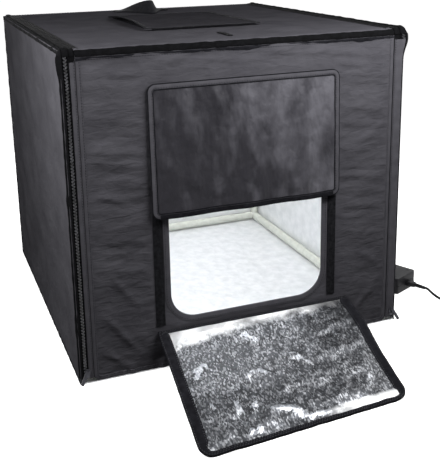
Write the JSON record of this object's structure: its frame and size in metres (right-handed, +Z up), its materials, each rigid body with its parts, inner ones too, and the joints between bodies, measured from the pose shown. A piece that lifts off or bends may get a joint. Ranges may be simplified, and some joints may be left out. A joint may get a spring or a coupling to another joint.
{
  "type": "folding light tent",
  "caption": "Fabric light tent cube on a tube frame, with a zip-off front and top, window flaps, inside light bars and a power adapter with its mains lead.",
  "frame": {"origin": "centre of the tent's footprint, on the underside of its floor panel", "axes": "+Z up, -Y out of the front door and its window, +X to the right seen from the front"},
  "size_m": [0.8886, 0.9233, 0.5944],
  "materials": {
    "black_nylon": "woven nylon, foil inside",
    "binding_tape": "ribbed tape",
    "silver_foil": "crinkled silver foil laminate",
    "hook_tape": "hook and loop pile",
    "webbing": "woven strap",
    "dark_metal": "dark plated, satin",
    "tube_enamel": "satin enamel",
    "white_plastic": "moulded, satin",
    "aluminium": "brushed, anodised",
    "board": "white solder mask",
    "black_plastic": "fine moulded texture",
    "lead_jacket": "satin"
  },
  "bodies": {
    "root": {"bottom_front_tube": "tube_enamel", "bottom_back_tube": "tube_enamel", "bottom_left_tube": "tube_enamel", "bottom_right_tube": "tube_enamel", "top_front_tube": "tube_enamel", "top_back_tube": "tube_enamel", "top_left_tube": "tube_enamel", "top_right_tube": "tube_enamel", "front_left_upright": "tube_enamel", "front_right_upright": "tube_enamel", "back_left_upright": "tube_enamel", "back_right_upright": "tube_enamel", "bottom_front_left_connector": "white_plastic", "bottom_front_right_connector": "white_plastic", "bottom_back_left_connector": "white_plastic", "bottom_back_right_connector": "white_plastic", "top_front_left_connector": "white_plastic", "top_front_right_connector": "white_plastic", "top_back_left_connector": "white_plastic", "top_back_right_connector": "white_plastic", "floor_panel": "silver_foil", "back_wall": "black_nylon", "left_wall": "black_nylon", "right_wall": "black_nylon", "left_zip": "binding_tape", "right_zip": "binding_tape", "adapter_base": "black_plastic", "adapter_lid": "black_plastic", "adapter_board": "board", "adapter_inlet": "black_plastic", "adapter_outlet_bush": "lead_jacket", "mains_connector": "lead_jacket", "mains_lead": "lead_jacket", "mains_lead_coil": "lead_jacket", "wall_plug": "lead_jacket"},
    "top_cover": {"top_panel": "black_nylon", "top_window_hook_tape": "hook_tape", "keeper_tab": "webbing"},
    "front_door": {"door_panel": "black_nylon", "window_hook_tape_left": "hook_tape", "window_hook_tape_right": "hook_tape"},
    "upper_flap": {"upper_flap_panel": "black_nylon", "upper_flap_binding": "binding_tape"},
    "lower_flap": {"lower_flap_panel": "silver_foil", "lower_flap_binding": "binding_tape"},
    "top_flap": {"top_flap_panel": "black_nylon"},
    "carry_handle": {"carry_handle": "webbing"},
    "left_zip_slider": {"left_zip_slider": "dark_metal"},
    "left_zip_pull": {"left_zip_pull": "dark_metal"},
    "right_zip_slider": {"right_zip_slider": "dark_metal"},
    "right_zip_pull": {"right_zip_pull": "dark_metal"},
    "front_light_bar": {"front_light_housing": "aluminium", "front_light_board": "board", "front_light_left_bracket": "white_plastic", "front_light_right_bracket": "white_plastic"},
    "rear_light_bar": {"rear_light_housing": "aluminium", "rear_light_board": "board", "rear_light_left_bracket": "white_plastic", "rear_light_right_bracket": "white_plastic"}
  },
  "joints": [
    {"name": "top_cover_hinge", "type": "hinge", "parent": "root", "child": "top_cover", "pos_m": [0, 0.3275, 0.56], "axis": [-1, 0, 0], "range_deg": [0, 180]},
    {"name": "front_door_hinge", "type": "hinge", "parent": "top_cover", "child": "front_door", "pos_m": [0, -0.3275, 0.5483], "axis": [-1, 0, 0], "range_deg": [0, 90]},
    {"name": "upper_flap_hinge", "type": "hinge", "parent": "front_door", "child": "upper_flap", "pos_m": [0, -0.3308, 0.4975], "axis": [-1, 0, 0], "range_deg": [0, 165]},
    {"name": "lower_flap_hinge", "type": "hinge", "parent": "front_door", "child": "lower_flap", "pos_m": [0.012, -0.3293, 0.07], "axis": [-1, 0, 0], "range_deg": [0, 97]},
    {"name": "top_flap_hinge", "type": "hinge", "parent": "top_cover", "child": "top_flap", "pos_m": [0.112, -0.002, 0.5626], "axis": [0, 1, 0], "range_deg": [0, 170]},
    {"name": "carry_handle_hinge", "type": "hinge", "parent": "top_cover", "child": "carry_handle", "pos_m": [-0.002, 0.302, 0.5618], "axis": [-1, 0, 0], "range_deg": [0, 85]},
    {"name": "left_zip_slide", "type": "slide", "parent": "root", "child": "left_zip_slider", "axis": [0, 0, 1], "range_m": [0, 0.48]},
    {"name": "right_zip_slide", "type": "slide", "parent": "root", "child": "right_zip_slider", "axis": [0, 0, 1], "range_m": [0, 0.48]},
    {"name": "left_zip_pull_hinge", "type": "hinge", "parent": "left_zip_slider", "child": "left_zip_pull", "pos_m": [-0.294, -0.3344, 0.028], "axis": [-0.8829, 0, 0.4695], "range_deg": [0, 60]},
    {"name": "right_zip_pull_hinge", "type": "hinge", "parent": "right_zip_slider", "child": "right_zip_pull", "pos_m": [0.294, -0.3344, 0.028], "axis": [-0.8829, 0, -0.4695], "range_deg": [0, 60]},
    {"name": "front_light_slide", "type": "slide", "parent": "root", "child": "front_light_bar", "axis": [0, 1, 0], "range_m": [-0.05, 0.1]},
    {"name": "rear_light_slide", "type": "slide", "parent": "root", "child": "rear_light_bar", "axis": [0, 1, 0], "range_m": [-0.1, 0.1]}
  ]
}
